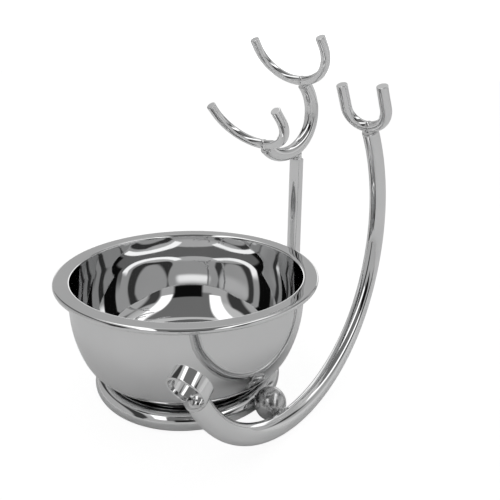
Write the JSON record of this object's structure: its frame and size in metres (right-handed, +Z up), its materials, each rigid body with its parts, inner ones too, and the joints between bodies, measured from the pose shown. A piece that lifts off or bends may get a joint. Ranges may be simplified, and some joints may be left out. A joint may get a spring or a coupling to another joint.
{
  "type": "shaving stand",
  "caption": "Chromed bent-bar shaving stand with a lift-out soap bowl, a ring and fork that hold a razor, and wire forks on a post that hold a brush.",
  "frame": {"origin": "centre of the bowl's underside, on the table", "axes": "+X towards the razor arm, +Y towards the post, +Z up"},
  "size_m": [0.1091, 0.1369, 0.137],
  "materials": {
    "bowl_chrome": "polished",
    "bar_chrome": "polished",
    "wire_chrome": "polished",
    "joint_chrome": "satin"
  },
  "bodies": {
    "stand": {"base_ring": "bar_chrome", "spacer_ball": "bar_chrome", "ring_ball_braze": "joint_chrome", "arm_ball_braze": "joint_chrome", "razor_arm": "bar_chrome", "handle_ring": "bar_chrome", "handle_ring_braze": "joint_chrome", "razor_fork": "wire_chrome", "razor_fork_braze": "joint_chrome", "post": "bar_chrome", "post_foot_braze": "joint_chrome", "post_neck": "bar_chrome", "cradle_bow": "bar_chrome", "lower_brush_fork": "wire_chrome", "lower_fork_braze": "joint_chrome", "upper_brush_fork": "wire_chrome", "upper_fork_braze": "joint_chrome"},
    "soap_bowl": {"bowl": "bowl_chrome"}
  },
  "joints": [
    {"name": "bowl_lift", "type": "slide", "parent": "stand", "child": "soap_bowl", "axis": [0, 0, 1], "range_m": [0, 0.03]}
  ]
}
